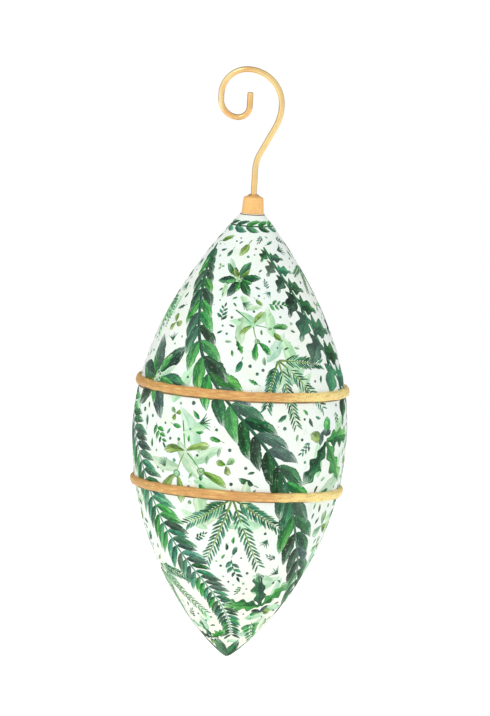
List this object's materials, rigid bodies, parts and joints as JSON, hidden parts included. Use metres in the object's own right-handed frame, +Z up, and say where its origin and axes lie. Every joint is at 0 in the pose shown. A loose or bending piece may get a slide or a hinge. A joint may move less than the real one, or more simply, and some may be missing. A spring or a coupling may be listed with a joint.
{
  "type": "christmas bauble",
  "caption": "Pointed drop-shaped hanging bauble with a painted body, gilt bands and cap, and a swirl wire hook that swivels.",
  "frame": {"origin": "where the bauble hangs: the highest point of the inside of the hook's loop", "axes": "+Z up, along the bauble's own axis; +X towards the side where the hook's wire rises, so the hook lies in the XZ plane and its tail curls on the other side"},
  "size_m": [0.072, 0.072, 0.1991],
  "materials": {
    "painted_body": "matte",
    "gilt_trim": "satin",
    "gilt_wire": "satin",
    "grey_card": "matte",
    "plain_steel": "satin"
  },
  "bodies": {
    "hook": {"hook": "gilt_wire", "stem_washer": "plain_steel", "stem_stop": "plain_steel"},
    "bauble": {"stem_eyelet": "gilt_trim", "cap": "gilt_trim", "neck": "grey_card", "upper_shell": "painted_body", "upper_sleeve": "grey_card", "upper_band": "gilt_trim", "belly_shell": "painted_body", "lower_sleeve": "grey_card", "lower_band": "gilt_trim", "lower_shell": "painted_body"}
  },
  "joints": [
    {"name": "hook_swivel", "type": "hinge", "parent": "hook", "child": "bauble", "pos_m": [0.00406, 0, -0.042], "axis": [0, 0, 1], "continuous": true}
  ]
}
